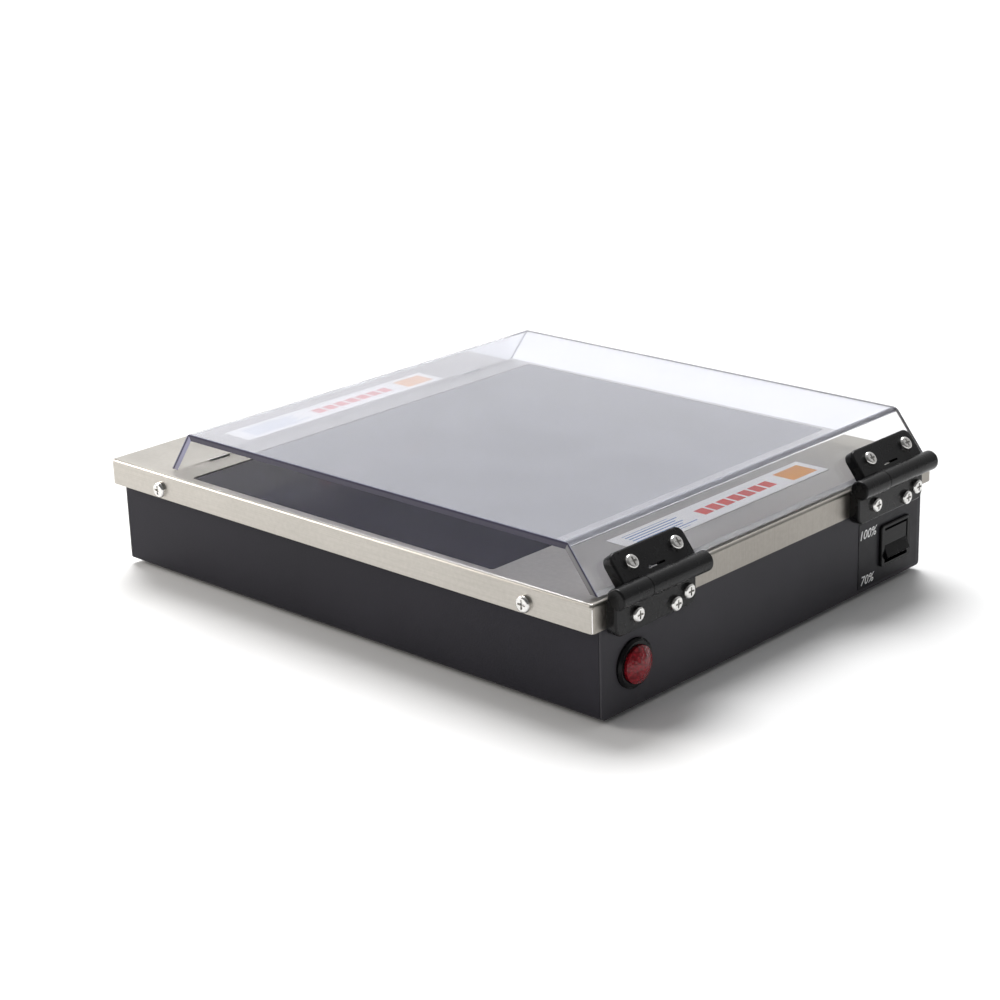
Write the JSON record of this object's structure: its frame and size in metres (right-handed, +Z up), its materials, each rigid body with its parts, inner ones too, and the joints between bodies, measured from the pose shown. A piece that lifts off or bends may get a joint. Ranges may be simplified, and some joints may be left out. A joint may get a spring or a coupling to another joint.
{
  "type": "uv transilluminator",
  "caption": "Bench ultraviolet transilluminator: low steel case with a dark filter glass over a bank of tubes, under a clear folded cover on moulded side hinges.",
  "frame": {"origin": "middle of the outline on the surface the feet stand on, cover closed", "axes": "+X towards the hinge side, +Y towards the back wall with the mains inlet, +Z up"},
  "size_m": [0.3764, 0.2948, 0.091],
  "materials": {
    "stainless": "brushed along the length",
    "base_paint": "charcoal satin powder coat",
    "bright_steel": "polished plating",
    "zinc_steel": "zinc plated",
    "bright_aluminium": "polished sheet",
    "clear_acrylic": "clear, polished faces",
    "filter_glass": "dark violet filter glass",
    "tube_glass": "clear tube, bare inside",
    "black_moulding": "fine moulded texture",
    "black_gloss": "smooth moulding",
    "white_moulding": "smooth moulding",
    "red_lens": "translucent domed lens",
    "rubber_black": "moulded",
    "rubber_clear": "clear silicone",
    "strip_vinyl": "printed vinyl",
    "film_black": "printed film",
    "board_laminate": "coated laminate",
    "brass": "plain"
  },
  "bodies": {
    "base": {"ballast_1": "zinc_steel", "ballast_2": "zinc_steel", "ballast_3": "zinc_steel", "base_shell": "base_paint", "board_posts": "brass", "board_relays": "black_moulding", "button_housing": "black_gloss", "button_nut": "black_gloss", "button_terminals": "brass", "control_board": "board_laminate", "cover_pads": "rubber_clear", "earth_stud": "brass", "filter_gasket": "rubber_black", "filter_glass": "filter_glass", "foot_screws": "zinc_steel", "fuse_cap": "black_gloss", "fuse_holder": "black_gloss", "glass_rail_left": "zinc_steel", "glass_rail_right": "zinc_steel", "hinge_backing_plates": "zinc_steel", "hinge_lower_leaf_far": "black_moulding", "hinge_lower_leaf_near": "black_moulding", "hinge_lower_screws": "bright_steel", "hinge_pins": "bright_steel", "inlet_fasteners": "bright_steel", "inlet_pins": "brass", "inlet_wall": "base_paint", "label_strips": "strip_vinyl", "lamp_sockets_left": "white_moulding", "lamp_sockets_right": "white_moulding", "legend_film": "film_black", "lid_screws": "bright_steel", "lid_spacers": "zinc_steel", "panel_screws": "zinc_steel", "power_inlet": "black_gloss", "reflector_standoffs": "zinc_steel", "reflector_tray": "bright_aluminium", "rubber_feet": "rubber_black", "side_panel_left": "base_paint", "side_panel_right": "base_paint", "socket_bracket_left": "zinc_steel", "socket_bracket_right": "zinc_steel", "steel_lid": "stainless", "switch_housing": "black_gloss", "switch_terminals": "brass", "tube_caps": "bright_aluminium", "tube_pins": "brass", "uv_tube_1": "tube_glass", "uv_tube_2": "tube_glass", "uv_tube_3": "tube_glass", "uv_tube_4": "tube_glass", "uv_tube_5": "tube_glass", "uv_tube_6": "tube_glass"},
    "cover": {"acrylic_cover": "clear_acrylic", "hinge_upper_leaf_near": "black_moulding", "hinge_upper_leaf_far": "black_moulding", "hinge_upper_screws": "bright_steel", "hinge_upper_nuts": "bright_steel"},
    "rocker": {"switch_rocker": "black_gloss"},
    "button": {"power_button": "red_lens"}
  },
  "joints": [
    {"name": "cover_hinge", "type": "hinge", "parent": "base", "child": "cover", "pos_m": [0.18265, 0.002, 0.067], "axis": [0, 1, 0], "range_deg": [0, 105]},
    {"name": "rocker_tilt", "type": "hinge", "parent": "base", "child": "rocker", "pos_m": [0.17205, 0.111, 0.025], "axis": [0, 1, 0], "range_deg": [0, 20]},
    {"name": "button_press", "type": "slide", "parent": "base", "child": "button", "axis": [-1, 0, 0], "range_m": [0, 0.003], "stiffness_N_per_m": 400, "springref_m": -0.002}
  ]
}
